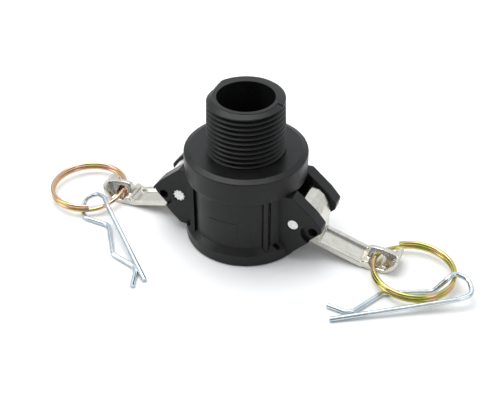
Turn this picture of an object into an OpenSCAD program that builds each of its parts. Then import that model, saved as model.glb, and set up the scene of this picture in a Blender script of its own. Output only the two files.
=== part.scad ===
// Lever-locking hose coupling: a socket with two cam levers and a tapered male pipe thread.
// Millimetres, Z up. The mouth of the socket stands on z = 0 and its axis is the Z axis.
// The levers lie open along +X and -X, as they rest on a table.

/* [Overall] */
// Height from the mouth of the socket to the end of the thread
total_height = 55; // [50:1:60]
// Smoothness of round things
round_steps = 96; // [48:12:144]

/* [Threaded end] */
// Diameter of the water way through the thread
bore_diameter = 19.5; // [17:0.5:21]
// Distance between two thread ridges
thread_pitch = 1.814; // [1.5:0.01:2.4]
// Radius over the ridges two millimetres behind the first one
thread_radius = 13.1; // [12.5:0.05:13.5]
// Height of a ridge above its groove
thread_depth = 1.15; // [0.8:0.05:1.4]
// Height of the first ridge below the end
first_ridge_drop = 1.22; // [1:0.02:1.8]

/* [Shoulder] */
// Radius of the shoulder
shoulder_radius = 21.25; // [20:0.25:23]
// Height of the shoulder's lower edge
shoulder_bottom = 25.8; // [24:0.2:27]
// Height of the shoulder's flat top
shoulder_top = 35.35; // [34:0.05:37]

/* [Socket] */
// Radius of the socket
socket_radius = 16.25; // [16.1:0.05:16.5]
// Outer radius of the barrel
barrel_radius = 19.4; // [19:0.1:20.5]
// Radius of the ring at the mouth
mouth_ring_radius = 21.55; // [21:0.05:23]
// Height of the upright side of the ring at the mouth
mouth_ring_height = 4.55; // [3.5:0.05:6]
// Radius of the seat for the gasket
gasket_seat_radius = 17.5; // [17:0.1:18]
// Thickness of the gasket
gasket_thickness = 5.56; // [5:0.01:6]
// Radius of the hole in the gasket
gasket_hole_radius = 11.1; // [10:0.1:13]

/* [Ears] */
// Half of the gap between two ears
ear_gap_half = 5.2; // [5:0.05:6]
// Thickness of an ear
ear_thickness = 5.07; // [4:0.05:6]
// Distance from the axis to a pivot pin
pivot_x = 21.3; // [20.8:0.1:22]
// Height of the pivot pins
pivot_z = 15.4; // [14.8:0.1:16]
// Distance from the axis to the safety hole
lock_x = 28; // [27:0.1:28.6]
// Height of the safety hole
lock_z = 13.2; // [12.6:0.1:13.8]
// Radius of the safety hole
lock_radius = 1.65; // [1.4:0.05:1.8]
// Radius of the recess round the safety hole
lock_recess_radius = 3.85; // [3:0.05:4.2]
// Depth of the recess round the safety hole
lock_recess_depth = 1.5; // [0.5:0.1:2]

/* [Pivot pins] */
// Radius of a pivot pin
pin_radius = 2.05; // [1.8:0.05:2.2]
// Radius over the ribs of its knurled end
knurl_radius = 2.2; // [2.1:0.05:2.4]
// Length of its knurled end
knurl_length = 3.6; // [2:0.2:4.5]

/* [Levers] */
// Width of a lever
lever_width = 10; // [9:0.1:10]
// How far the open arms slope down to the table
arm_slope = 16.06; // [12:0.01:18]
// Radius of the cam's lobe at its top
lobe_radius = 7.3; // [6.5:0.05:7.5]
// Radius of the cam's low side
low_side_radius = 4.75; // [4:0.05:5]
// Running clearance of a lever on its pin
pin_clearance = 0.06; // [0.02:0.01:0.1]
// Distance from the axis to the eye for the finger ring
eye_x = 49.4; // [49:0.1:50]
// Height of that eye above the table
eye_z = 3.3; // [3:0.1:3.6]
// Radius of the hole in the eye
eye_hole_radius = 2.4; // [2:0.1:2.5]

/* [Finger rings] */
// Radius of a finger ring at the middle of its wire
ring_radius = 13.6; // [12:0.1:15]
// Radius of the wire of a finger ring
ring_wire = 0.75; // [0.7:0.01:0.78]

/* [Safety clips] */
// Radius of the wire of a safety clip
clip_wire = 0.85; // [0.8:0.01:1]

/* [Hidden] */
$fn = round_steps;
tiny = 0.01;
through = 60;
ear_face = ear_gap_half + ear_thickness;
ear_middle = ear_gap_half + ear_thickness / 2;
seat_step = 0.4;
gasket_top = shoulder_bottom + seat_step + gasket_thickness;
gasket_play = 0.02;
bore_edge = 0.3;
lip_radius = 11.85;
crest_half = 0.08;
groove_half = 0.05;
bevel_width = 2;
bevel_drop = 0.8;
bevel_corner = [0.1, 0.25];
shoulder_edge = 0.8;
mouth_slope = 2.05;
mouth_edge = 0.7;
ear_side_view = [[14, 26.4], [20.9, 26.4], [28.4, 20.2], [29.9, 18.4], [31.2, 16.6], [31.4, 15.3],
                 [31.1, 14.1], [30.6, 13.5], [21.4, 3.5], [14, 3.3]];
thread_taper = 1 / 32;
ridge_count = floor((total_height - first_ridge_drop - shoulder_top) / thread_pitch) + 1;
window_bottom = 7.5;
window_inner_x = 10;
ear_root_clear = 1.2;
knurl_count = 10;
pin_end_gap = 0.15;
knurl_lead = 0.5;
knurl_play = 0.02;
knurl_valley = 0.05;
lever_bore = pin_radius + pin_clearance;
arm_top = -6.08;
arm_under = -8.2;
arm_length = 27;
arm_root = 5.2;
cam_heel = [-3.2, -3.5];
channel_half = 3.4;
channel_depth = 0.9;
channel_start = 10.9;
channel_side = 0.6;
clear_above = 3;
lug_half = 2.4;
lug_edge = 0.6;
cam_flats = [[60, 7.05], [35, 7.45], [14, 7.85], [-3, 8.35], [-17, 8.9], [-30, 9.35]];
foot_side_view = [[44.5, 2.4], [45.7, 3.3], [47.1, 3.2], [48, 1.5], [53.2, 1.5], [54.9, 4.2], [56.2, 5.8],
                  [57, 5.5], [56.8, 4.4], [55.7, 2.4], [54.4, 0.9], [52.8, 0.05], [46.4, 0.05], [44.9, 0.6]];
lug_side_view = [[45.2, 0.5], [45.7, 3.6], [46.5, 6.2], [47.4, 6.85], [50.6, 6.85], [53.6, 6.35],
                 [56, 5.6], [56.2, 4.4], [53, 0.6]];
rib_inner_x = 12.85;
rib_outer_x = 14.5;
rib_radius = 21.3;
rib_bottom = 3;
rib_top = shoulder_bottom + 1;
coil_rise = 1.6;
coil_steps = 80;
wire_sides = 10;
ring_right_centre = [62.35, -3.1, eye_z];
ring_left_centre = [-62.7, -4.1, eye_z];
black = [0.09, 0.09, 0.1];
rubber = [0.05, 0.05, 0.05];
bright_steel = [0.8, 0.8, 0.8];
cast_steel = [0.7, 0.69, 0.66];
zinc = [0.75, 0.79, 0.83];

// radius over the thread's ridges at a height
function ridge_r(z) = thread_radius + (total_height - 3 - z) * thread_taper;
// height of a ridge, counted from the end
function ridge_z(k) = total_height - first_ridge_drop - k * thread_pitch;

// groove and ridge points of the thread, from the end down
function thread_points() = [
    for (k = [0 : ridge_count - 1]) each [
        [ridge_r(ridge_z(k)), ridge_z(k) + thread_pitch * crest_half],
        [ridge_r(ridge_z(k)), max(ridge_z(k) - thread_pitch * crest_half, shoulder_top + tiny)],
        if (k < ridge_count - 1)
            [ridge_r(ridge_z(k)) - thread_depth, ridge_z(k) - thread_pitch * (0.5 - groove_half)],
        if (k < ridge_count - 1)
            [ridge_r(ridge_z(k)) - thread_depth, ridge_z(k) - thread_pitch * (0.5 + groove_half)]
    ]
];

// half section of the turned shape of the body
module body_section() {
    polygon(concat(
        [[bore_diameter / 2, gasket_top],
         [bore_diameter / 2, total_height - bore_edge],
         [bore_diameter / 2 + bore_edge, total_height],
         [lip_radius, total_height]],
        thread_points(),
        [[ridge_r(shoulder_top), shoulder_top],
         [shoulder_radius - bevel_width, shoulder_top],
         [shoulder_radius - bevel_corner[0], shoulder_top - bevel_drop],
         [shoulder_radius, shoulder_top - bevel_drop - bevel_corner[1]],
         [shoulder_radius, shoulder_bottom + shoulder_edge],
         [shoulder_radius - shoulder_edge, shoulder_bottom],
         [barrel_radius, shoulder_bottom],
         [barrel_radius, mouth_ring_height + mouth_slope],
         [mouth_ring_radius, mouth_ring_height],
         [mouth_ring_radius, mouth_edge],
         [mouth_ring_radius - mouth_edge, 0],
         [socket_radius, 0],
         [socket_radius, gasket_top - gasket_thickness],
         [gasket_seat_radius, gasket_top - gasket_thickness],
         [gasket_seat_radius, gasket_top]]));
}

// both ears on the +X side, with their holes
module ear_pair() {
    for (side = [-1, 1])
        difference() {
            translate([0, side * ear_middle, 0])
                rotate([90, 0, 0])
                    linear_extrude(ear_thickness, center = true)
                        polygon(ear_side_view);
            translate([lock_x, 0, lock_z])
                rotate([90, 0, 0])
                    cylinder(r = lock_radius, h = through, center = true);
            translate([lock_x, side * ear_face, lock_z])
                rotate([90, 0, 0])
                    cylinder(r = lock_recess_radius, h = 2 * lock_recess_depth, center = true);
        }
}

// the four upright ribs beside the ears
module ribs() {
    intersection() {
        for (x = [-1, 1])
            translate([x * (rib_inner_x + rib_outer_x) / 2, 0, (rib_bottom + rib_top) / 2])
                cube([rib_outer_x - rib_inner_x, through, rib_top - rib_bottom], center = true);
        cylinder(r = rib_radius, h = rib_top);
    }
}

// holes for one pivot pin, wider at its knurled end
module pin_holes() {
    translate([pivot_x, 0, pivot_z])
        rotate([90, 0, 0])
            cylinder(r = pin_radius, h = through, center = true);
    translate([pivot_x, ear_face - knurl_length, pivot_z])
        rotate([-90, 0, 0])
            cylinder(r = knurl_radius, h = through);
}

module body() {
    color(black)
        difference() {
            union() {
                rotate_extrude()
                    body_section();
                difference() {
                    union() {
                        ribs();
                        for (turn = [0, 180])
                            rotate([0, 0, turn])
                                ear_pair();
                    }
                    cylinder(r = gasket_seat_radius + ear_root_clear, h = gasket_top);
                }
            }
            for (turn = [0, 180])
                rotate([0, 0, turn]) {
                    pin_holes();
                    translate([window_inner_x, -ear_gap_half, window_bottom])
                        cube([through, 2 * ear_gap_half, shoulder_bottom - window_bottom]);
                }
        }
}

module gasket() {
    color(rubber)
        translate([0, 0, gasket_top - gasket_thickness])
            difference() {
                cylinder(r = gasket_seat_radius - gasket_play, h = gasket_thickness - gasket_play);
                cylinder(r = gasket_hole_radius, h = through, center = true);
            }
}

// the pivot pin of the +X side, knurled at its +Y end
module pin() {
    pin_end = ear_face - pin_end_gap;
    rotate([90, 0, 0])
        cylinder(r = pin_radius - tiny, h = 2 * pin_end, center = true);
    translate([0, pin_end - knurl_length + knurl_lead, 0])
        rotate([-90, 0, 0])
            linear_extrude(knurl_length - knurl_lead)
                polygon([for (k = [0 : 2 * knurl_count - 1])
                    let (r = (k % 2 == 0) ? knurl_radius - knurl_play : pin_radius - knurl_valley)
                    [r * cos(k * 180 / knurl_count), r * sin(k * 180 / knurl_count)]]);
}

module pin_right() {
    color(bright_steel)
        translate([pivot_x, 0, pivot_z])
            pin();
}

module pin_left() {
    color(bright_steel)
        rotate([0, 0, 180])
            translate([pivot_x, 0, pivot_z])
                pin();
}

// a point measured along the open arm from the pivot, and up from its line
function on_arm(s, n) = [
    pivot_x + s * cos(arm_slope) + n * sin(arm_slope),
    pivot_z - s * sin(arm_slope) + n * cos(arm_slope)
];

// a point given by its angle and distance from the pivot
function from_pivot(flat) = [
    pivot_x + flat[1] * cos(flat[0]),
    pivot_z + flat[1] * sin(flat[0])
];

// side view of the cam, with flats on its outer side
module cam_side_view() {
    translate([pivot_x, pivot_z])
        circle(r = low_side_radius);
    intersection() {
        translate([pivot_x, pivot_z])
            circle(r = lobe_radius);
        translate([pivot_x, pivot_z - low_side_radius])
            square(lobe_radius + low_side_radius);
    }
    polygon(concat(
        [[pivot_x, pivot_z]],
        [for (flat = cam_flats) from_pivot(flat)],
        [on_arm(channel_start - channel_side, arm_top), on_arm(channel_start, arm_under),
         on_arm(arm_root, arm_under), [pivot_x, pivot_z] + cam_heel]));
}

// side view of the arm and its foot, which bends up at the tip
module arm_side_view() {
    polygon([on_arm(arm_root, arm_under), on_arm(arm_length, arm_under),
             on_arm(arm_length, arm_top), on_arm(arm_root, arm_top)]);
    polygon(foot_side_view);
}

// the wedge in the middle of the foot that carries the ring's eye
module lug() {
    rotate([90, 0, 0])
        linear_extrude(2 * lug_half, center = true)
            polygon(lug_side_view);
}

// the open lever on the +X side
module lever() {
    difference() {
        union() {
            rotate([90, 0, 0])
                linear_extrude(lever_width, center = true) {
                    cam_side_view();
                    arm_side_view();
                }
            lug();
        }
        translate([pivot_x, 0, pivot_z])
            rotate([90, 0, 0])
                cylinder(r = lever_bore, h = through, center = true);
        translate([eye_x, 0, eye_z])
            rotate([90, 0, 0])
                cylinder(r = eye_hole_radius, h = 2 * (lug_half + lug_edge), center = true);
        rotate([90, 0, 0])
            linear_extrude(2 * channel_half, center = true)
                polygon([on_arm(channel_start, arm_top - channel_depth),
                         on_arm(arm_length - 2 * channel_side, arm_top - channel_depth),
                         on_arm(arm_length - channel_side, arm_top + clear_above),
                         on_arm(channel_start - channel_side, arm_top + clear_above)]);
    }
}

module lever_right() {
    color(cast_steel)
        lever();
}

module lever_left() {
    color(cast_steel)
        rotate([0, 0, 180])
            lever();
}

// corner cutting, which rounds the bends of a path
function cut_corners(p, share = 0.25) = [
    p[0],
    for (i = [0 : len(p) - 2]) each [
        if (i > 0) p[i] + (p[i + 1] - p[i]) * share,
        if (i < len(p) - 2) p[i + 1] + (p[i] - p[i + 1]) * share
    ],
    p[len(p) - 1]
];

// direction of a path at one of its points
function heading(p, i) =
    let (d = p[min(i + 1, len(p) - 1)] - p[max(i - 1, 0)])
    d / norm(d);

// points round a path's point, on a circle square to the path
function wire_circle(p, i, r) =
    let (t = heading(p, i), side = cross(t, [0, 0, 1]) / norm(cross(t, [0, 0, 1])),
         up = cross(side, t))
    [for (k = [0 : wire_sides - 1])
        p[i] + r * (side * cos(k * 360 / wire_sides) + up * sin(k * 360 / wire_sides))];

// a round wire along a path
module wire(path, r) {
    last = len(path) - 1;
    polyhedron(
        points = [for (i = [0 : last]) each wire_circle(path, i, r)],
        faces = concat(
            [[for (k = [wire_sides - 1 : -1 : 0]) k]],
            [for (i = [0 : last - 1], k = [0 : wire_sides - 1])
                let (next = (k + 1) % wire_sides)
                [i * wire_sides + next, (i + 1) * wire_sides + next,
                 (i + 1) * wire_sides + k, i * wire_sides + k]],
            [[for (k = [0 : wire_sides - 1]) last * wire_sides + k]]),
        convexity = 6);
}

// a finger ring of two coils: its single strand starts at an angle and spans another
module finger_ring(start, span) {
    coil = 360 - span;
    full_turn = coil + span + coil;
    wire([for (k = [0 : coil_steps])
            let (a = k * full_turn / coil_steps,
                 climb = min(max((a - coil) / span, 0), 1))
            [ring_radius * cos(start - coil + a), ring_radius * sin(start - coil + a),
             coil_rise * (climb - 0.5)]],
         ring_wire);
}

module ring_right() {
    color([0.72, 0.62, 0.2])
        translate(ring_right_centre)
            finger_ring(126, 54);
}

module ring_left() {
    color([0.75, 0.55, 0.3])
        translate(ring_left_centre)
            finger_ring(-60, 78);
}

// a clip's path is given along its straight leg, beside it and above the table
module clip(points, start, turn) {
    translate([start[0], start[1], clip_wire])
        rotate([0, 0, turn])
            wire(cut_corners(cut_corners(points)), clip_wire);
}

module clip_right() {
    color(zinc)
        clip([[0, 0, 0], [23.1, 0.1, 1.35], [42.5, 0, 2.8], [47.6, 0.8, 3.6], [48, 7, 4.6],
              [44.3, 10.2, 5.1], [41.2, 8.1, 4.6], [36.6, 7.6, 0], [19.8, 9.4, 0], [7, 1.6, 0],
              [0.6, 6.4, 0]],
             [43.08, -33.38], 31.3);
}

module clip_left() {
    color(zinc)
        clip([[0, 0, 0], [19.3, 0, 2.5], [37.9, 0, 5], [43, -0.4, 5.2], [47.6, 0.8, 4.4],
              [48.4, 5.4, 2.4], [46, 7.4, 0], [41.2, 8.1, 0], [33.2, 1.6, 0], [17.5, 6.4, 0],
              [7, 0.4, 0], [-1, 4.8, 0]],
             [-20.16, -39.93], 138.3);
}

body();
gasket();
pin_right();
pin_left();
lever_right();
lever_left();
ring_right();
ring_left();
clip_right();
clip_left();
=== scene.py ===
import bpy
import bmesh
import math
from mathutils import Matrix, Vector


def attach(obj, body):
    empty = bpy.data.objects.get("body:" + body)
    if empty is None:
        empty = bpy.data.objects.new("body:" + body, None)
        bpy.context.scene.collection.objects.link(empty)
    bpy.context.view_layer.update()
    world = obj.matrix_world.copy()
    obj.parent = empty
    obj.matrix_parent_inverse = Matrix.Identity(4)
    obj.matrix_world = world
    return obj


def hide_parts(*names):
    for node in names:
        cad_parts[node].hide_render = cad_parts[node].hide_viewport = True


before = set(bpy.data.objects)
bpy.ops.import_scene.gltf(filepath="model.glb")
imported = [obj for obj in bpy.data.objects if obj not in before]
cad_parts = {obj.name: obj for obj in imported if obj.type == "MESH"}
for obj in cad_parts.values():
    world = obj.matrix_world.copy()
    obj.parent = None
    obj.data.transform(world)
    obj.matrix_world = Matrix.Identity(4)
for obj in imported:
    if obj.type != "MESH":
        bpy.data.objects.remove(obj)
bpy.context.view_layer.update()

mm = 0.001  # every size below is in millimetres, and becomes metres where a mesh is made


def arcCorner(before, corner, after, radius, steps):
    # the points of an arc that rounds one corner of an outline
    a = (Vector(before) - Vector(corner)).normalized()
    b = (Vector(after) - Vector(corner)).normalized()
    halfAngle = a.angle(b) / 2
    reach = radius / math.tan(halfAngle)
    centre = Vector(corner) + (a + b).normalized() * (radius / math.sin(halfAngle))
    start = Vector(corner) + a * reach - centre
    end = Vector(corner) + b * reach - centre
    turn = start.angle_signed(end)
    points = []
    for i in range(steps + 1):
        spin = Matrix.Rotation(-turn * i / steps, 2)
        points.append(tuple(centre + spin @ start))
    return points


def roundedOutline(corners, steps=5):
    # corners are (x, y, radius); radius 0 leaves a corner sharp
    points = []
    count = len(corners)
    for i, (x, y, radius) in enumerate(corners):
        before = corners[i - 1][:2]
        after = corners[(i + 1) % count][:2]
        if radius > 0:
            points += arcCorner(before, (x, y), after, radius, steps)
        else:
            points.append((x, y))
    return points


def newObject(name, mesh):
    thing = bpy.data.objects.new(name, mesh)
    bpy.context.scene.collection.objects.link(thing)
    return thing


def meshFrom(name, points, faces):
    mesh = bpy.data.meshes.new(name)
    mesh.from_pydata([tuple(c * mm for c in p) for p in points], [], faces)
    work = bmesh.new()
    work.from_mesh(mesh)
    bmesh.ops.recalc_face_normals(work, faces=work.faces)
    work.to_mesh(mesh)
    work.free()
    return newObject(name, mesh)


def turned(name, profile, steps=180):
    # a closed ring: the profile's (radius, height) points go round the Z axis
    return sweptRound(name, lambda degrees: profile, [360 * i / steps for i in range(steps)], True)


def sweptRound(name, profileAt, angles, closed):
    # the profile may change with the angle, and the sweep may stop short of a full turn
    points = []
    for degrees in angles:
        angle = math.radians(degrees)
        for radius, height in profileAt(degrees):
            points.append((radius * math.cos(angle), radius * math.sin(angle), height))
    count = len(profileAt(angles[0]))
    rings = len(angles)
    faces = []
    for i in range(rings if closed else rings - 1):
        after = (i + 1) % rings
        for j in range(count):
            up = (j + 1) % count
            faces.append((i * count + j, after * count + j, after * count + up, i * count + up))
    if not closed:
        faces += [tuple(range(count)), tuple(range((rings - 1) * count, rings * count))]
    return meshFrom(name, points, faces)


def prismFaces(count):
    # the ends and sides of a solid whose points are one outline given twice
    sides = [(i, (i + 1) % count, count + (i + 1) % count, count + i) for i in range(count)]
    return [tuple(range(count)), tuple(range(2 * count - 1, count - 1, -1))] + sides


def rod(name, radius, start, end, steps=64):
    # a plain cylinder between two points, for cutting
    axis = Vector(end) - Vector(start)
    side = axis.orthogonal().normalized() * radius
    other = axis.normalized().cross(side)
    angles = [2 * math.pi * i / steps for i in range(steps)]
    points = [Vector(centre) + side * math.cos(angle) + other * math.sin(angle)
              for centre in (start, end) for angle in angles]
    return meshFrom(name, points, prismFaces(steps))


def acrossRod(name, radius, x, z, low=-20, high=20):
    # a cutting cylinder along Y
    return rod(name, radius, (x, low, z), (x, high, z))


def plate(name, outline, low, high, edge=0.0, segments=3):
    # a plate whose outline is in X and Z, between two places along Y, with softened rims
    count = len(outline)
    points = [(x, y, z) for y in (low, high) for x, z in outline]
    thing = meshFrom(name, points, prismFaces(count))
    if edge > 0:
        work = bmesh.new()
        work.from_mesh(thing.data)
        caps = [f for f in work.faces if len(f.verts) == count]
        rims = {e for f in caps for e in f.edges}
        bmesh.ops.bevel(work, geom=list(rims), offset=edge * mm, segments=segments, profile=0.5,
                        affect="EDGES", clamp_overlap=True)
        work.to_mesh(thing.data)
        work.free()
    return thing


def block(name, low, high):
    (x0, y0, z0), (x1, y1, z1) = low, high
    return plate(name, [(x0, z0), (x1, z0), (x1, z1), (x0, z1)], y0, y1)


def bakedMesh(thing):
    # the plain mesh that the object's modifiers make; the modifiers then go
    bpy.context.view_layer.update()
    made = bpy.data.meshes.new_from_object(thing.evaluated_get(bpy.context.evaluated_depsgraph_get()))
    thing.modifiers.clear()
    return made


def merge(thing, other, how):
    # how is UNION, DIFFERENCE or INTERSECT; the other solid is used up
    step = thing.modifiers.new("merge", "BOOLEAN")
    step.operation = how
    step.solver = "MANIFOLD"
    step.object = other
    solid = bakedMesh(thing)
    spent = (thing.data, other.data)
    thing.data = solid
    bpy.data.objects.remove(other)
    for mesh in spent:
        bpy.data.meshes.remove(mesh)
    return thing


def dropSlivers(thing):
    # joins along level faces can leave faces with no area; this takes them out
    work = bmesh.new()
    work.from_mesh(thing.data)
    bmesh.ops.dissolve_degenerate(work, dist=0.001 * mm, edges=work.edges)
    work.to_mesh(thing.data)
    work.free()


def sidesOf(side, near, far):
    # a span on one side of a middle plane, as (low, high)
    return sorted((side * near, side * far))


def turnedCopy(name, thing, degrees):
    # the same solid turned about the Z axis
    mesh = thing.data.copy()
    mesh.transform(Matrix.Rotation(math.radians(degrees), 4, "Z"))
    return newObject(name, mesh)


def dress(thing, material, sharpAngle=None):
    # one material all over; smooth shading, sharp over an angle where one is given
    thing.data.materials.clear()
    thing.data.materials.append(material)
    thing.data.shade_smooth()
    if sharpAngle:
        thing.data.set_sharp_from_angle(angle=math.radians(sharpAngle))
        even = thing.modifiers.new("even shading", "WEIGHTED_NORMAL")
        even.keep_sharp = True
    return thing


def castSoft(thing, voxel, rounds):
    # remeshes a solid finely and smooths it, which rounds all its edges as a casting's are
    step = thing.modifiers.new("remesh", "REMESH")
    step.mode = "VOXEL"
    step.voxel_size = voxel * mm
    ease = thing.modifiers.new("ease", "SMOOTH")
    ease.factor = 0.5
    ease.iterations = rounds
    thing.data = bakedMesh(thing)
    return thing


def startTree(name, sizes):
    # a tree with geometry in and out, a number for each size, and a material
    tree = bpy.data.node_groups.new(name, "GeometryNodeTree")
    tree.interface.new_socket("Geometry", in_out="INPUT", socket_type="NodeSocketGeometry")
    for label, kind in sizes.items():
        tree.interface.new_socket(label, in_out="INPUT", socket_type=kind)
    tree.interface.new_socket("Finish", in_out="INPUT", socket_type="NodeSocketMaterial")
    tree.interface.new_socket("Geometry", in_out="OUTPUT", socket_type="NodeSocketGeometry")
    return tree, tree.nodes.new("NodeGroupInput"), tree.nodes.new("NodeGroupOutput")


def endTree(tree, given, made, result):
    # every tree ends in Realize Instances and Set Material
    realize = tree.nodes.new("GeometryNodeRealizeInstances")
    finish = tree.nodes.new("GeometryNodeSetMaterial")
    tree.links.new(made, realize.inputs[0])
    tree.links.new(realize.outputs[0], finish.inputs["Geometry"])
    tree.links.new(given.outputs["Finish"], finish.inputs["Material"])
    tree.links.new(finish.outputs[0], result.inputs[0])


def runTree(name, host, tree, values):
    # runs the tree on a host mesh and keeps the result as a plain mesh
    thing = newObject(name, host)
    step = thing.modifiers.new("build", "NODES")
    step.node_group = tree
    for item in tree.interface.items_tree:
        if item.in_out == "INPUT" and item.name in values:
            step[item.identifier] = values[item.name]
    thing.data = bakedMesh(thing)
    thing.data.name = name
    return thing


def pathMesh(name, points, closed=False):
    mesh = bpy.data.meshes.new(name)
    count = len(points)
    edges = [(i, (i + 1) % count) for i in range(count if closed else count - 1)]
    mesh.from_pydata([tuple(c * mm for c in p) for p in points], edges, [])
    return mesh


def wireTree():
    # a round wire along the host's path, closed at both ends
    tree, given, result = startTree("wire along a path", {
        "Wire Radius": "NodeSocketFloat", "Sides": "NodeSocketInt", "Spacing": "NodeSocketFloat"})
    new, link = tree.nodes.new, tree.links.new
    curve = new("GeometryNodeMeshToCurve")
    even = new("GeometryNodeResampleCurve")
    even.mode = "LENGTH"
    upright = new("GeometryNodeSetCurveNormal")
    upright.mode = "Z_UP"
    circle = new("GeometryNodeCurvePrimitiveCircle")
    sweep = new("GeometryNodeCurveToMesh")
    smooth = new("GeometryNodeSetShadeSmooth")
    link(given.outputs["Geometry"], curve.inputs["Mesh"])
    link(curve.outputs[0], even.inputs["Curve"])
    link(given.outputs["Spacing"], even.inputs["Length"])
    link(even.outputs[0], upright.inputs["Curve"])
    link(given.outputs["Sides"], circle.inputs["Resolution"])
    link(given.outputs["Wire Radius"], circle.inputs["Radius"])
    link(upright.outputs[0], sweep.inputs["Curve"])
    link(circle.outputs["Curve"], sweep.inputs["Profile Curve"])
    sweep.inputs["Fill Caps"].default_value = True
    link(sweep.outputs[0], smooth.inputs["Geometry"])
    endTree(tree, given, smooth.outputs[0], result)
    return tree


def threadTree():
    # sweeps the host's outline up a tapering right-hand spiral
    tree, given, result = startTree("thread ridge", {
        "Turns": "NodeSocketFloat", "Start Radius": "NodeSocketFloat", "End Radius": "NodeSocketFloat",
        "Rise": "NodeSocketFloat", "Steps Per Turn": "NodeSocketInt", "Bottom": "NodeSocketVector"})
    new, link = tree.nodes.new, tree.links.new
    outline = new("GeometryNodeMeshToCurve")
    spiral = new("GeometryNodeCurveSpiral")
    spiral.inputs["Reverse"].default_value = True  # the ridge climbs to the right
    upright = new("GeometryNodeSetCurveNormal")
    upright.mode = "Z_UP"
    sweep = new("GeometryNodeCurveToMesh")
    place = new("GeometryNodeSetPosition")
    sweep.inputs["Fill Caps"].default_value = True
    link(given.outputs["Geometry"], outline.inputs["Mesh"])
    link(given.outputs["Turns"], spiral.inputs["Rotations"])
    link(given.outputs["Start Radius"], spiral.inputs["Start Radius"])
    link(given.outputs["End Radius"], spiral.inputs["End Radius"])
    link(given.outputs["Rise"], spiral.inputs["Height"])
    link(given.outputs["Steps Per Turn"], spiral.inputs["Resolution"])
    link(spiral.outputs["Curve"], upright.inputs["Curve"])
    link(upright.outputs[0], sweep.inputs["Curve"])
    link(outline.outputs[0], sweep.inputs["Profile Curve"])
    link(sweep.outputs[0], place.inputs["Geometry"])
    link(given.outputs["Bottom"], place.inputs["Offset"])
    endTree(tree, given, place.outputs[0], result)
    return tree


def knurlTree():
    # stands the host's rib at even steps round the Z axis
    tree, given, result = startTree("knurls round a pin", {"Ribs": "NodeSocketInt"})
    new, link = tree.nodes.new, tree.links.new
    points = new("GeometryNodePoints")
    number = new("GeometryNodeInputIndex")
    step = new("ShaderNodeMath")
    step.operation = "DIVIDE"
    step.inputs[0].default_value = 2 * math.pi
    spin = new("ShaderNodeMath")
    spin.operation = "MULTIPLY"
    turn = new("ShaderNodeCombineXYZ")
    stand = new("GeometryNodeInstanceOnPoints")
    link(given.outputs["Ribs"], points.inputs["Count"])
    link(given.outputs["Ribs"], step.inputs[1])
    link(number.outputs[0], spin.inputs[0])
    link(step.outputs[0], spin.inputs[1])
    link(spin.outputs[0], turn.inputs["Z"])
    link(points.outputs["Points"], stand.inputs["Points"])
    link(turn.outputs["Vector"], stand.inputs["Rotation"])
    link(given.outputs["Geometry"], stand.inputs["Instance"])
    endTree(tree, given, stand.outputs[0], result)
    return tree


def newMaterial(name, colour, metallic, roughness):
    material = bpy.data.materials.new(name)
    material.use_nodes = True
    shader = material.node_tree.nodes["Principled BSDF"]
    shader.inputs["Base Color"].default_value = (*colour, 1)
    shader.inputs["Metallic"].default_value = metallic
    shader.inputs["Specular IOR Level"].default_value = 0.4
    shader.inputs["Roughness"].default_value = roughness
    return material, shader


def noise(material, size, detail=3.0, stretch=(1, 1, 1)):
    # a noise whose grains are about size millimetres across, fixed to the object
    tree = material.node_tree
    place = tree.nodes.new("ShaderNodeTexCoord")
    scale = tree.nodes.new("ShaderNodeMapping")
    scale.inputs["Scale"].default_value = [s / (size * mm) for s in stretch]
    grain = tree.nodes.new("ShaderNodeTexNoise")
    grain.inputs["Scale"].default_value = 1.0
    grain.inputs["Detail"].default_value = detail
    tree.links.new(place.outputs["Object"], scale.inputs["Vector"])
    tree.links.new(scale.outputs["Vector"], grain.inputs["Vector"])
    return grain.outputs["Fac"]


def mapped(material, value, low, high, fromLow=0.3, fromHigh=0.7):
    # carries a value's range over to low and high
    node = material.node_tree.nodes.new("ShaderNodeMapRange")
    node.inputs["From Min"].default_value = fromLow
    node.inputs["From Max"].default_value = fromHigh
    node.inputs["To Min"].default_value = low
    node.inputs["To Max"].default_value = high
    material.node_tree.links.new(value, node.inputs["Value"])
    return node.outputs["Result"]


def ramp(material, value, stops):
    # colours a value; stops are (place, colour)
    node = material.node_tree.nodes.new("ShaderNodeValToRGB")
    bar = node.color_ramp
    while len(bar.elements) < len(stops):
        bar.elements.new(0.5)
    for element, (place, colour) in zip(bar.elements, stops):
        element.position = place
        element.color = (*colour, 1)
    material.node_tree.links.new(value, node.inputs["Fac"])
    return node.outputs["Color"]


def mixed(material, amount, first, second):
    # lays a plain colour over the first by the amount
    node = material.node_tree.nodes.new("ShaderNodeMix")
    node.data_type = "RGBA"
    material.node_tree.links.new(amount, node.inputs["Factor"])
    material.node_tree.links.new(first, node.inputs["A"])
    node.inputs["B"].default_value = (*second, 1)
    return node.outputs["Result"]


def bump(material, shader, heights):
    # heights are (value, depth in millimetres), laid one over the other
    last = None
    for value, depth in heights:
        node = material.node_tree.nodes.new("ShaderNodeBump")
        node.inputs["Strength"].default_value = 1.0
        node.inputs["Distance"].default_value = depth * mm
        material.node_tree.links.new(value, node.inputs["Height"])
        if last:
            material.node_tree.links.new(last, node.inputs["Normal"])
        last = node.outputs["Normal"]
    material.node_tree.links.new(last, shader.inputs["Normal"])


def paintedCreaseShade(material, start, full):
    # a mask for painted shade in hollow creases: 0 until the surface is as hollow as start, and 1 where it
    # is as hollow as full
    node = material.node_tree.nodes.new("ShaderNodeNewGeometry")
    return mapped(material, node.outputs["Pointiness"], 0, 1, start, full)


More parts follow.
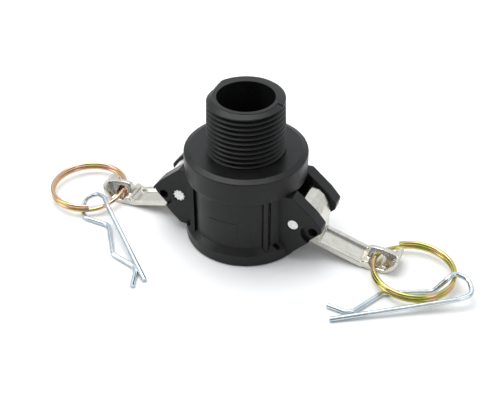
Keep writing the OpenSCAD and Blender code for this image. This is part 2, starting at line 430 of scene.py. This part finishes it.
def blackPlastic():
    material, shader = newMaterial("glassFilledPlastic", (0.006, 0.006, 0.006), 0.0, 0.36)
    shader.inputs["Specular IOR Level"].default_value = 0.26
    flow = noise(material, 6.0, 4.0)
    speck = noise(material, 0.3, 3.0)
    fine = noise(material, 0.12, 2.0)
    colour = ramp(material, flow, [(0.3, (0.0055, 0.0055, 0.0055)), (0.7, (0.0105, 0.0105, 0.0105))])
    colour = mixed(material, mapped(material, speck, 0.0, 0.5, 0.55, 0.75), colour, (0.028, 0.028, 0.027))
    material.node_tree.links.new(colour, shader.inputs["Base Color"])
    material.node_tree.links.new(mapped(material, flow, 0.27, 0.42), shader.inputs["Roughness"])
    bump(material, shader, [(flow, 0.09), (speck, 0.02), (fine, 0.008)])
    return material


def castSteel():
    material, shader = newMaterial("castStainless", (0.8, 0.77, 0.72), 1.0, 0.3)
    broad = noise(material, 3.5, 4.0)
    grain = noise(material, 0.35, 3.0)
    fine = noise(material, 0.12, 2.0)
    colour = ramp(material, broad, [(0.25, (0.57, 0.548, 0.492)), (0.75, (0.72, 0.7, 0.64))])
    colour = mixed(material, mapped(material, grain, 0.0, 0.4, 0.5, 0.8), colour, (0.45, 0.43, 0.39))
    # painted shade: the steel's colour is darkened in its hollow creases, where shade falls
    colour = mixed(material, paintedCreaseShade(material, 0.495, 0.44), colour, (0.14, 0.13, 0.11))
    material.node_tree.links.new(colour, shader.inputs["Base Color"])
    material.node_tree.links.new(mapped(material, grain, 0.14, 0.28), shader.inputs["Roughness"])
    bump(material, shader, [(broad, 0.06), (grain, 0.022), (fine, 0.008)])
    return material


def pinSteel():
    material, shader = newMaterial("drawnStainless", (0.78, 0.78, 0.77), 1.0, 0.28)
    fine = noise(material, 0.15, 3.0, (1, 0.1, 1))
    material.node_tree.links.new(mapped(material, fine, 0.2, 0.36), shader.inputs["Roughness"])
    colour = ramp(material, noise(material, 0.8), [(0.3, (0.66, 0.66, 0.65)), (0.7, (0.86, 0.86, 0.85))])
    material.node_tree.links.new(colour, shader.inputs["Base Color"])
    bump(material, shader, [(fine, 0.01)])
    return material


def yellowZinc(name, warm):
    # yellow chromate shifts from green through gold to pink along the wire
    material, shader = newMaterial(name, (0.7, 0.58, 0.22), 1.0, 0.24)
    shift = noise(material, 5.0, 2.0)
    green, gold, pink = (0.46, 0.46, 0.11), (0.62, 0.48, 0.18), (0.66, 0.42, 0.31)
    goldAt = 0.5 - 0.16 * warm
    colour = ramp(material, shift, [(goldAt - 0.14, green), (goldAt, gold), (goldAt + 0.2, pink)])
    material.node_tree.links.new(colour, shader.inputs["Base Color"])
    fine = noise(material, 0.2, 3.0)
    material.node_tree.links.new(mapped(material, fine, 0.12, 0.26), shader.inputs["Roughness"])
    bump(material, shader, [(fine, 0.008)])
    return material


def blueZinc():
    material, shader = newMaterial("brightZinc", (0.7, 0.75, 0.8), 1.0, 0.2)
    shift = noise(material, 7.0, 2.0)
    colour = ramp(material, shift, [(0.3, (0.5, 0.57, 0.62)), (0.7, (0.68, 0.74, 0.77))])
    material.node_tree.links.new(colour, shader.inputs["Base Color"])
    fine = noise(material, 0.25, 3.0)
    material.node_tree.links.new(mapped(material, fine, 0.16, 0.28), shader.inputs["Roughness"])
    bump(material, shader, [(fine, 0.006)])
    return material


def gasketRubber():
    material, shader = newMaterial("gasketRubber", (0.02, 0.02, 0.02), 0.0, 0.7)
    bloom = noise(material, 2.5, 4.0)
    colour = ramp(material, bloom, [(0.3, (0.014, 0.014, 0.014)), (0.8, (0.035, 0.035, 0.034))])
    material.node_tree.links.new(colour, shader.inputs["Base Color"])
    material.node_tree.links.new(mapped(material, bloom, 0.6, 0.82), shader.inputs["Roughness"])
    bump(material, shader, [(noise(material, 0.3), 0.01)])
    return material


plastic = blackPlastic()
steel = castSteel()
pinFinish = pinSteel()
zincRight = yellowZinc("yellowZincGreenish", 0.0)
zincLeft = yellowZinc("yellowZincWarm", 1.0)
zincBright = blueZinc()
rubber = gasketRubber()
print("materials made")


# the thread's crest stands at frontRidge where frontAngle faces; its core runs from low to high
thread = {"pitch": 1.814, "depth": 1.15, "radius": 13.1, "radiusAt": 52.0, "taper": 1 / 32,
          "frontRidge": 53.78, "frontAngle": -66.8, "crest": 0.3, "crestEdge": 0.06, "flankGap": 0.07,
          "sunk": 0.4, "turns": 13.5, "turnsBelowFront": 12, "stepsPerTurn": 120,
          "inside": 8.5, "low": 34.0, "high": 57.0}
# the lip over the topmost ridge, where the thread runs out
lip = {"inside": 10.6, "outside": 13.06, "drop": 1.2, "edge": 0.5, "below": 0.4,
       "fadeFrom": 150, "fadeOver": 34, "last": 184}
# the chamfer round the thread's end, from the rim down to the edge
mouth = {"rim": 11.12, "edge": 13.04, "reach": 16, "low": 34.2, "axis": 1, "bevel": 0.06,
         "rimDrop": 0.2, "frontEdge": 0.15, "backEdge": 0.43}
partLine = {"inside": 11.8, "low": 35, "high": 54, "sunk": 0.55, "half": 0.12}
# radii and heights of the moulding; the socket is below and the shoulder above
shell = {"height": 55.0, "bore": 9.75, "socket": 16.25, "seat": 17.5, "seatLow": 26.2, "seatHigh": 31.76,
         "inside": 8.6, "neckLow": 34.6, "neckJoin": 12.2,
         "shoulder": 21.25, "shoulderLow": 25.8, "shoulderTop": 35.35, "slopeWide": 2.0, "slopeDrop": 0.78,
         "edgeWide": 0.12, "edgeDrop": 1.15, "barrel": 19.4,
         "mouthRing": 21.5, "ringTop": 4.55, "ringSlope": 2.05}
ears = {"gapHalf": 5.2, "thick": 5.07, "rim": 0.35, "lockX": 28.0, "lockZ": 13.2, "lockRadius": 1.65,
        "recess": 3.85, "recessDepth": 1.5}
ribs = {"inner": 12.85, "outer": 14.5, "reach": 21.3, "root": 10.5, "low": 3.0, "high": 27.4, "edge": 0.12}
pad = {"left": -5.5, "right": 4.6, "low": 9.9, "high": 16.9, "bevel": 0.2, "sunk": 0.4,
       "edge": 0.04, "face": 0.14, "steps": 16}
pockets = {"inner": 15.1, "outer": 17.4, "near": 11.2, "far": 12.7, "low": 4.9, "high": 6.7}
windows = {"inner": 10, "outer": 40, "low": 7.5, "high": 25.8}
pivot = {"x": 21.3, "z": 15.4, "radius": 2.04, "play": 0.02, "knurlHole": 2.4, "knurlFrom": 6.7}


def threadRadius(height):
    return thread["radius"] + (thread["radiusAt"] - height) * thread["taper"]


def firstRidge(degrees):
    # height of the topmost full ridge's crest at an angle from -176 to 184
    return thread["frontRidge"] + (degrees - thread["frontAngle"]) / 360 * thread["pitch"]


def lipFade(degrees):
    # 0 round the back, rising to 1 where the next ridge begins
    return min(max((degrees - lip["fadeFrom"]) / lip["fadeOver"], 0), 1)


def lipSection(degrees):
    # fills the groove over the topmost ridge round the back, and fades out where the next ridge begins
    crest = firstRidge(degrees)
    outer = lip["outside"] - lip["drop"] * lipFade(degrees)
    top = shell["height"] + 1
    return [(lip["inside"], crest - lip["edge"]), (outer - lip["edge"], crest - lip["below"]),
            (outer, crest), (outer, top), (lip["inside"], top)]


def mouthSection(degrees):
    # everything kept of the neck: the end is flat behind, and slopes down to the ridge in front
    m = mouth
    top = shell["height"]
    crest = firstRidge(degrees)
    front = crest + m["frontEdge"]
    if degrees < 0:
        rim, edge = top - m["rimDrop"], front
    else:
        fade = lipFade(degrees)
        rim = top - m["rimDrop"] * fade
        edge = (1 - fade) * min(top, crest + m["backEdge"]) + fade * (front - thread["pitch"])
    slope = (rim - edge) / (m["edge"] - m["rim"])
    fall = slope * (m["reach"] - m["edge"])
    return [(m["axis"], m["low"]), (m["reach"], m["low"]), (m["reach"], edge - fall), (m["edge"], edge),
            (m["rim"], rim), (m["rim"] - m["bevel"], top), (m["axis"], top)]


def ridgeOutline():
    # the thread's cross-section, standing on the core
    t = thread
    half = t["pitch"] / 2 - t["flankGap"]
    crest = t["crest"] / 2
    upper = [(t["depth"], crest - t["crestEdge"]), (t["depth"] - t["crestEdge"], crest), (0, half),
             (-t["sunk"], half)]
    lower = [(out, -up) for out, up in reversed(upper)]
    return [(out, up, 0) for out, up in lower + upper]


def threadedNeck():
    # core, right-hand ridge and the mould's parting lines, trimmed by the chamfer at the end
    t = thread
    rootLow, rootHigh = threadRadius(t["low"]) - t["depth"], threadRadius(t["high"]) - t["depth"]
    neck = turned("neck", [(t["inside"], t["low"]), (rootLow, t["low"]), (rootHigh, t["high"]),
                           (t["inside"], t["high"])])
    bottom = firstRidge(0) - t["turnsBelowFront"] * t["pitch"]
    rise = t["turns"] * t["pitch"]
    ridge = runTree("ridge", pathMesh("ridge outline", ridgeOutline(), closed=True), threadTree(), {
        "Turns": t["turns"], "Start Radius": (threadRadius(bottom) - t["depth"]) * mm,
        "End Radius": (threadRadius(bottom + rise) - t["depth"]) * mm, "Rise": rise * mm,
        "Steps Per Turn": t["stepsPerTurn"], "Bottom": (0, 0, bottom * mm), "Finish": plastic})
    neck = merge(neck, ridge, "UNION")
    lipAngles = [-1 + 3 * i for i in range(62)] + [lip["last"]]  # the back half, every 3 degrees
    neck = merge(neck, sweptRound("lip", lipSection, lipAngles, False), "UNION")
    p = partLine
    outward = [(p["inside"], p["low"]), (threadRadius(p["low"]) - p["sunk"], p["low"]),
               (threadRadius(p["high"]) - p["sunk"], p["high"]), (p["inside"], p["high"])]
    for side in (-1, 1):
        line = [(side * x, z) for x, z in outward]
        neck = merge(neck, plate("partingLine", line, -p["half"], p["half"]), "UNION")
    frontAngles = [-175.9 + 2.93 * i for i in range(61)]  # together a full turn, parted at 0
    backAngles = [0.1 + 3 * i for i in range(62)]
    return merge(neck, sweptRound("envelope", mouthSection, frontAngles + backAngles, True), "INTERSECT")


def shellSection():
    # half of the moulding's section without the thread, as (radius, height, rounding)
    s = shell
    return roundedOutline([
        (s["inside"], s["seatHigh"], 0), (s["inside"], s["neckLow"], 0),
        (s["neckJoin"], s["neckLow"], 0), (s["neckJoin"], s["shoulderTop"], 0),
        (s["shoulder"] - s["slopeWide"], s["shoulderTop"], 0.25),
        (s["shoulder"] - s["edgeWide"], s["shoulderTop"] - s["slopeDrop"], 0.12),
        (s["shoulder"], s["shoulderTop"] - s["edgeDrop"], 0.1),
        (s["shoulder"], s["shoulderLow"], 0.9),
        (s["barrel"], s["shoulderLow"], 0.35),
        (s["barrel"], s["ringTop"] + s["ringSlope"], 0.3),
        (s["mouthRing"], s["ringTop"], 0.25),
        (s["mouthRing"], 0, 0.8),
        (s["socket"], 0, 0.3),
        (s["socket"], s["seatLow"], 0.2),
        (s["seat"], s["seatLow"], 0.15),
        (s["seat"], s["seatHigh"], 0.3)])


def earOutline():
    # side view of an ear on the +X side, as (x, height, rounding)
    return roundedOutline([(14, 26.0, 0), (20.9, 26.5, 0.6), (28.3, 20.1, 3.0), (31.45, 16.3, 1.1),
                           (31.2, 13.9, 1.0), (21.4, 3.4, 0.8), (14, 3.3, 0)])


def earPair(turn):
    # the two ears of one lever, each with its lock hole in a round recess
    e = ears
    pair = []
    for side in (-1, 1):
        face = side * (e["gapHalf"] + e["thick"])
        ear = plate("ear", earOutline(), *sidesOf(side, e["gapHalf"], e["gapHalf"] + e["thick"]), e["rim"])
        ear = merge(ear, acrossRod("recess", e["recess"], e["lockX"], e["lockZ"],
                                   face - side * e["recessDepth"], face + side), "DIFFERENCE")
        ear = merge(ear, acrossRod("lock", e["lockRadius"], e["lockX"], e["lockZ"]), "DIFFERENCE")
        ear.data.transform(Matrix.Rotation(math.radians(turn), 4, "Z"))
        pair.append(ear)
    return pair


def uprightRib(side, front):
    low, high = sidesOf(side, ribs["inner"], ribs["outer"])
    reach = math.sqrt(ribs["reach"] ** 2 - ribs["outer"] ** 2)
    outline = [(low, ribs["low"]), (high, ribs["low"]), (high, ribs["high"]), (low, ribs["high"])]
    return plate("rib", outline, *sidesOf(front, ribs["root"], reach), ribs["edge"], 2)


def frontPad():
    # a plain raised panel on the front of the barrel, following its roundness
    barrel = shell["barrel"]
    left, right = (math.degrees(math.asin(x / barrel)) - 90 for x in (pad["left"], pad["right"]))
    section = [(barrel - pad["sunk"], pad["low"]), (barrel + pad["edge"], pad["low"]),
               (barrel + pad["face"], pad["low"] + pad["bevel"]),
               (barrel + pad["face"], pad["high"] - pad["bevel"]),
               (barrel + pad["edge"], pad["high"]), (barrel - pad["sunk"], pad["high"])]
    angles = [left + (right - left) * i / pad["steps"] for i in range(pad["steps"] + 1)]
    return sweptRound("pad", lambda degrees: section, angles, False)


def cutPockets(body):
    # small hollows in the mouth ring, beside the foot of each rib
    for side in (-1, 1):
        for front in (-1, 1):
            low, high = sidesOf(side, pockets["inner"], pockets["outer"])
            near, far = sidesOf(front, pockets["near"], pockets["far"])
            cut = block("pocket", (low, near, pockets["low"]), (high, far, pockets["high"]))
            merge(body, cut, "DIFFERENCE")


def cutSide(body, side):
    # the window that the cam reaches through, and the hole of its pin with the knurl's wider end
    low, high = sidesOf(side, windows["inner"], windows["outer"])
    gap = ears["gapHalf"]
    x, z = side * pivot["x"], pivot["z"]
    cuts = [block("window", (low, -gap, windows["low"]), (high, gap, windows["high"])),
            acrossRod("pinHole", pivot["radius"] + pivot["play"], x, z),
            acrossRod("knurlHole", pivot["knurlHole"], x, z, side * pivot["knurlFrom"], side * 20)]
    for cut in cuts:
        merge(body, cut, "DIFFERENCE")


def makeBody():
    body = turned("couplingBody", shellSection())
    extras = [threadedNeck()]
    extras += [uprightRib(side, front) for side in (-1, 1) for front in (-1, 1)]
    extras += earPair(0) + earPair(180)
    extras.append(frontPad())
    for extra in extras:
        merge(body, extra, "UNION")
    cutPockets(body)
    socketTop = shell["seatLow"] + 0.1  # runs a little into the gasket's seat
    merge(body, rod("socket", shell["socket"], (0, 0, 0.5), (0, 0, socketTop), 180), "DIFFERENCE")
    for side in (-1, 1):
        cutSide(body, side)
    above = shell["height"] + 5
    merge(body, rod("waterWay", shell["bore"], (0, 0, 30), (0, 0, above), 180), "DIFFERENCE")
    dropSlivers(body)
    dress(body, plastic, 28)
    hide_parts("body")
    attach(body, "body")
    print("body made")


makeBody()


gasketSizes = {"outer": 17.46, "hole": 11.1, "low": 26.22, "high": 31.74, "holeEdge": 0.7, "rimEdge": 0.5}


def makeGasket():
    g = gasketSizes
    ring = turned("gasketRing", roundedOutline([
        (g["hole"], g["low"], g["holeEdge"]), (g["outer"], g["low"], g["rimEdge"]),
        (g["outer"], g["high"], g["rimEdge"]), (g["hole"], g["high"], g["holeEdge"])], 6))
    dress(ring, rubber, 40)
    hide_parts("gasket")
    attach(ring, "body")


pinSizes = {"halfLength": 10.1, "edge": 0.25, "neck": 1.86, "neckEdge": 0.1,
            "ribs": 10, "ribHalf": 0.48, "ribHeight": 0.34, "ribRoot": 0.4,
            "ribLength": 3.2, "ribShort": 0.02}


def pinRod(name, steps=48):
    # the rod stands on the Z axis, with its knurled neck on top
    p = pinSizes
    half, radius = p["halfLength"], pivot["radius"]
    shoulder = half - p["ribLength"]
    profile = [(radius - p["edge"], -half), (radius, p["edge"] - half), (radius, shoulder),
               (p["neck"], shoulder + p["neckEdge"]), (p["neck"], half - p["neckEdge"]),
               (p["neck"] - p["neckEdge"], half)]
    angles = [2 * math.pi * i / steps for i in range(steps)]
    points = [(r * math.cos(a), r * math.sin(a), up) for r, up in profile for a in angles]
    last = (len(profile) - 1) * steps
    faces = [tuple(range(steps)), tuple(range(last, last + steps))]
    for k in range(0, last, steps):
        for i in range(steps):
            after = (i + 1) % steps
            faces.append((k + i, k + after, k + steps + after, k + steps + i))
    return meshFrom(name, points, faces)


def pinRib():
    # one sharp rib of the knurl, at +X
    p = pinSizes
    root, tip, half = pivot["radius"] - p["ribRoot"], pivot["radius"] + p["ribHeight"], p["ribHalf"]
    ends = (p["halfLength"] - p["ribLength"], p["halfLength"] - p["ribShort"])
    points = [(x, y, z) for z in ends for x, y in ((root, -half), (tip, 0), (root, half))]
    rib = meshFrom("rib", points, prismFaces(3))
    host = rib.data
    bpy.data.objects.remove(rib)
    return host


def makePin(name, node, side):
    # a drawn rod; its knurled end is at +Y on the right and -Y on the left
    pin = pinRod(name)
    knurl = runTree("knurl", pinRib(), knurlTree(), {"Ribs": pinSizes["ribs"], "Finish": pinFinish})
    merge(pin, knurl, "UNION")
    pin.data.transform(Matrix.Rotation(-math.pi / 2, 4, "X"))
    pin.data.transform(Matrix.Translation((pivot["x"] * mm, 0, pivot["z"] * mm)))
    if side < 0:
        pin.data.transform(Matrix.Rotation(math.pi, 4, "Z"))
    dress(pin, pinFinish, 30)
    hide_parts(node)
    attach(pin, "body")


makeGasket()
makePin("pivotPinRight", "pin_right", 1)
makePin("pivotPinLeft", "pin_left", -1)
print("gasket and pins made")


# heights of the arm are measured square to its line through the pivot
lever = {"halfWidth": 5.0, "slope": 16.06, "top": -6.08, "under": -8.2, "length": 27.0, "bore": 2.2,
         "camEdge": 0.3, "armEdge": 0.25, "armStart": 6, "armRoot": 5.2, "armMeets": 12, "camMeets": 10.2,
         "flats": [(78, 7.2), (57, 7.3), (35, 7.5), (14, 7.9), (-3, 8.4), (-17, 8.95), (-30, 9.4)],
         "lugHalf": 2.9, "lugFoot": 1.5, "draft": 0.4, "voxel": 0.17, "softness": 4}
eye = {"near": 49.2, "far": 50.3, "z": 3.35, "radius": 2.15, "half": 3.3}
trough = {"start": 9.7, "end": 26.0, "half": 3.9, "floorHalf": 2.5, "depth": 1.05, "lip": 0.5,
          "slopeIn": 0.5, "startOut": 0.3, "endOut": 0.5}
tip = {"x": 56.6, "y": 4.1, "turn": 42}


def onArm(along, up):
    # a place measured along the open arm from the pivot, and up from the arm's line
    slope = math.radians(lever["slope"])
    return (pivot["x"] + along * math.cos(slope) + up * math.sin(slope),
            pivot["z"] - along * math.sin(slope) + up * math.cos(slope))


def atPivot(x, z, radius):
    # a corner measured from the pivot, with its rounding
    return (pivot["x"] + x, pivot["z"] + z, radius)


def camOutline():
    # the cam's flats run from the leading edge over the lobe to the outer wall
    lobe = []
    for degrees, reach in reversed(lever["flats"]):
        angle = math.radians(degrees)
        lobe.append(atPivot(reach * math.cos(angle), reach * math.sin(angle), 0.5))
    heel = [atPivot(0.4, 6.6, 0.5), atPivot(-0.9, 4.8, 0.8), atPivot(-4.6, 1.0, 1.5),
            atPivot(-4.7, -1.6, 1.5), atPivot(-3.2, -3.6, 1.5)]
    arm = [(*onArm(lever["armRoot"], lever["under"]), 2.0), (*onArm(lever["armMeets"], lever["under"]), 0),
           (*onArm(lever["armMeets"], lever["top"]), 0), (*onArm(lever["camMeets"], lever["top"]), 0.5)]
    return roundedOutline(lobe + heel + arm, 4)


def armOutline():
    start, end = lever["armStart"], lever["length"]
    under, top = lever["under"], lever["top"]
    return [onArm(start, under), onArm(end, under), onArm(end, top), onArm(start, top)]


def endOutline():
    # the foot on the table, the saddle for the ring, and the tip that bends up, as (x, height, rounding)
    return roundedOutline([
        (44.3, 2.35, 0), (45.7, 3.4, 0.5), (47.1, 3.3, 0.5), (48.0, 1.5, 0.5), (52.9, 1.5, 0.6),
        (54.8, 4.2, 0.5), (56.3, 5.9, 0.4), (57.1, 5.6, 0.4), (56.9, 4.4, 0.5), (55.7, 2.4, 1.2),
        (53.4, 0.5, 1.2), (52.2, 0.06, 1), (46.4, 0.06, 0.6), (44.8, 0.7, 0.5)], 4)


def lugOutline():
    # the wedge that carries the ring's eye, and runs out into the tip
    return roundedOutline([
        (45.2, 0.5, 0), (45.7, 3.6, 0.6), (46.9, 6.9, 1.0), (50.6, 6.9, 1.5), (54.0, 6.3, 1.0),
        (56.6, 5.6, 0.3), (56.3, 4.2, 0), (53.0, 0.6, 0)])


def drafted(name, outline, half, foot, draft):
    # like plate, but both sides lean inwards as they rise from the foot
    points = [(x, side * (half - draft * (z - foot)), z) for side in (-1, 1) for x, z in outline]
    return meshFrom(name, points, prismFaces(len(outline)))


def eyeCuts():
    # the ring's eye is a slot: two round ends and the block between them
    x0, x1, z, radius, half = eye["near"], eye["far"], eye["z"], eye["radius"], eye["half"]
    return [acrossRod("eyeEnd", radius, x0, z, -half, half), acrossRod("eyeEnd", radius, x1, z, -half, half),
            block("eyeMiddle", (x0, -half, z - radius), (x1, half, z + radius))]


def tipCorner(side):
    # takes one corner off the tip
    cut = block("tipCorner", (0, -3, -1), (6, 3, 9))
    turn = Matrix.Rotation(math.radians(side * tip["turn"]), 4, "Z")
    cut.data.transform(Matrix.Translation((tip["x"] * mm, side * tip["y"] * mm, 0)) @ turn)
    return cut


def troughCut():
    # the shallow channel cast along the arm's top, with sloping sides and ends
    t = trough
    floor, brim = lever["top"] - t["depth"], lever["top"] + t["lip"]
    points = []
    for start, end, up, half in ((t["start"] + t["slopeIn"], t["end"] - t["slopeIn"], floor, t["floorHalf"]),
                                 (t["start"] - t["startOut"], t["end"] + t["endOut"], brim, t["half"])):
        for along, y in ((start, -half), (end, -half), (end, half), (start, half)):
            x, z = onArm(along, up)
            points.append((x, y, z))
    return meshFrom("trough", points, prismFaces(4))


def makeLevers():
    half = lever["halfWidth"]
    right = plate("leverRight", camOutline(), -half, half, lever["camEdge"])
    for part in (plate("arm", armOutline(), -half, half, lever["armEdge"]),
                 plate("end", endOutline(), -half, half, lever["camEdge"]),
                 drafted("lug", lugOutline(), lever["lugHalf"], lever["lugFoot"], lever["draft"])):
        merge(right, part, "UNION")
    bore = acrossRod("bore", lever["bore"], pivot["x"], pivot["z"])
    for cut in [troughCut()] + eyeCuts() + [tipCorner(-1), tipCorner(1), bore]:
        merge(right, cut, "DIFFERENCE")
    castSoft(right, lever["voxel"], lever["softness"])
    left = turnedCopy("leverLeft", right, 180)
    for piece, body in ((right, "lever_right"), (left, "lever_left")):
        dress(piece, steel)
        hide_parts(body)
        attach(piece, body)
    print("levers made")


makeLevers()


# each ring's start is where its climbing strand begins, in degrees
ringSizes = {"radius": 13.6, "wire": 0.75, "rise": 1.6, "height": 3.3, "steps": 180}
ringRight = {"centre": (62.35, -3.1), "start": 126, "span": 54}
ringLeft = {"centre": (-62.7, -4.1), "start": -60, "span": 78}
clipWire = 0.85
clipBend = {"radius": 3.6, "most": 0.46, "steps": 8}
wire = {"sides": 24, "spacing": 0.45}


def splitRing(centre, start, span):
    # two coils: a single strand, span degrees long, climbs from the lower coil to the upper one
    r = ringSizes
    coil = 360 - span
    whole = 2 * coil + span
    path = []
    for i in range(r["steps"] + 1):
        turn = i * whole / r["steps"]
        climb = min(max((turn - coil) / span, 0), 1)
        climb = climb * climb * (3 - 2 * climb)  # leaves and joins the coils smoothly
        angle = math.radians(start - coil + turn)
        path.append((centre[0] + r["radius"] * math.cos(angle), centre[1] + r["radius"] * math.sin(angle),
                     r["height"] + r["rise"] * (climb - 0.5)))
    return path


def filleted(path, radius):
    # rounds each bend of a path to the radius, or less where the legs are short
    out = [Vector(path[0])]
    for before, here, after in zip(path, path[1:], path[2:]):
        corner = Vector(here)
        first, second = Vector(before) - corner, Vector(after) - corner
        half = first.angle(second) / 2
        most = clipBend["most"] * min(first.length, second.length)
        reach = min(radius / math.tan(half), most)
        start, end = corner + first.normalized() * reach, corner + second.normalized() * reach
        middle = (first.normalized() + second.normalized()).normalized()
        centre = corner + middle * (reach / math.cos(half))
        swing = (start - centre).angle(end - centre)
        axis = (start - centre).cross(end - centre)
        for i in range(clipBend["steps"] + 1):
            spin = Matrix.Rotation(swing * i / clipBend["steps"], 3, axis)
            out.append(centre + spin @ (start - centre))
    out.append(Vector(path[-1]))
    return out


def clipPath(clip):
    # a clip's bends are given along its straight leg, beside it and above the table
    spin = Matrix.Rotation(math.radians(clip["turn"]), 3, "Z")
    place = Vector((*clip["start"], clipWire))
    return [tuple(spin @ point + place) for point in filleted(clip["bends"], clipBend["radius"])]


clipRight = {"start": (43.08, -33.38), "turn": 31.3, "bends": [
    (0, 0, 0), (23.1, 0.1, 1.35), (42.5, 0, 2.8), (47.6, 0.8, 3.6), (48, 7, 4.6), (44.3, 10.2, 5.1),
    (41.2, 8.1, 4.6), (36.6, 7.6, 0), (19.8, 9.4, 0), (7, 1.6, 0), (0.6, 6.4, 0)]}
clipLeft = {"start": (-20.16, -39.93), "turn": 138.3, "bends": [
    (0, 0, 0), (19.3, 0, 2.5), (37.9, 0, 5), (43, -0.4, 5.2), (47.6, 0.8, 4.4), (48.4, 5.4, 2.4),
    (46, 7.4, 0), (41.2, 8.1, 0), (33.2, 1.6, 0), (17.3, 5.4, 0), (7, 0.4, 0), (-1, 4.8, 0)]}


def makeWires():
    tree = wireTree()
    pieces = [
        ("fingerRingRight", "ring_right", splitRing(**ringRight), ringSizes["wire"], zincRight, "ring_zinc"),
        ("fingerRingLeft", "ring_left", splitRing(**ringLeft), ringSizes["wire"], zincLeft, "ring_zinc"),
        ("safetyClipRight", "clip_right", clipPath(clipRight), clipWire, zincBright, "clip_zinc"),
        ("safetyClipLeft", "clip_left", clipPath(clipLeft), clipWire, zincBright, "clip_zinc")]
    for name, node, path, radius, finish, slot in pieces:
        piece = runTree(name, pathMesh(name, path), tree, {
            "Wire Radius": radius * mm, "Sides": wire["sides"], "Spacing": wire["spacing"] * mm,
            "Finish": finish})
        dress(piece, finish, 50)
        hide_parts(node)
        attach(piece, node)
    print("rings and clips made")


makeWires()


tent = {"side": 0.17, "top": 1.05, "from": -0.2, "to": 0.75, "brightest": (-0.05, 0.55, 0.62),
        "colour": (0.97, 1, 1.03, 1)}
floorSizes = {"half": 3000, "albedo": 0.92}


def makeFloor():
    half = floorSizes["half"]
    corners = [(-half, -half, 0), (half, -half, 0), (half, half, 0), (-half, half, 0)]
    floor = meshFrom("floor", corners, [(0, 1, 2, 3)])
    material, shader = newMaterial("paleFloor", (floorSizes["albedo"],) * 3, 0.0, 0.6)
    shader.inputs["Specular IOR Level"].default_value = 0.2
    floor.data.materials.append(material)


def makeTent():
    # a light tent: brightest above and behind
    world = bpy.data.worlds.new("studio")
    world.use_nodes = True
    place = world.node_tree.nodes.new("ShaderNodeTexCoord")
    lean = world.node_tree.nodes.new("ShaderNodeVectorMath")
    lean.operation = "DOT_PRODUCT"
    lean.inputs[1].default_value = tent["brightest"]
    fade = world.node_tree.nodes.new("ShaderNodeMapRange")
    fade.inputs["From Min"].default_value = tent["from"]
    fade.inputs["From Max"].default_value = tent["to"]
    fade.inputs["To Min"].default_value = tent["side"]
    fade.inputs["To Max"].default_value = tent["top"]
    background = world.node_tree.nodes["Background"]
    background.inputs["Color"].default_value = tent["colour"]
    world.node_tree.links.new(place.outputs["Generated"], lean.inputs[0])
    world.node_tree.links.new(lean.outputs["Value"], fade.inputs["Value"])
    world.node_tree.links.new(fade.outputs["Result"], background.inputs["Strength"])
    bpy.context.scene.world = world


lamps = [  # name, place, width and length, power; each faces the coupling
    ("overhead", (-130, 40, 480), (420, 420), 1.75),
    ("leftFill", (-450, -250, 260), (250, 300), 0.6),
    ("rightFill", (420, -200, 220), (200, 300), 0.3)]
lampTarget = (0, 0, 20)


def softBox(name, place, size, power):
    lamp = bpy.data.lights.new(name, "AREA")
    lamp.shape = "RECTANGLE"
    lamp.size, lamp.size_y = size[0] * mm, size[1] * mm
    lamp.energy = power
    thing = bpy.data.objects.new(name, lamp)
    bpy.context.scene.collection.objects.link(thing)
    thing.location = Vector(place) * mm
    look = (Vector(lampTarget) - Vector(place)).to_track_quat("-Z", "Y")
    thing.rotation_euler = look.to_euler()


# the camera's place, and the directions that it looks and has on its right
view = {"lens": 64.8, "sensor": 36.0, "place": (99.533, -232.344, 205.645),
        "forward": (-0.3091, 0.73205, -0.60709), "right": (0.92125, 0.38898, 0)}


def makeCamera():
    camera = bpy.data.cameras.new("camera")
    camera.sensor_width = view["sensor"]
    camera.lens = view["lens"]
    camera.clip_start, camera.clip_end = 0.01, 20
    thing = bpy.data.objects.new("camera", camera)
    bpy.context.scene.collection.objects.link(thing)
    forward = Vector(view["forward"]).normalized()
    right = Vector(view["right"]).normalized()
    up = right.cross(forward)
    turn = Matrix((right, up, -forward)).transposed()
    thing.matrix_world = Matrix.Translation(Vector(view["place"]) * mm) @ turn.to_4x4()
    bpy.context.scene.camera = thing


makeFloor()
makeTent()
for lamp in lamps:
    softBox(*lamp)
makeCamera()
bpy.context.scene.view_settings.view_transform = "Standard"
print("stage, lights and camera made")
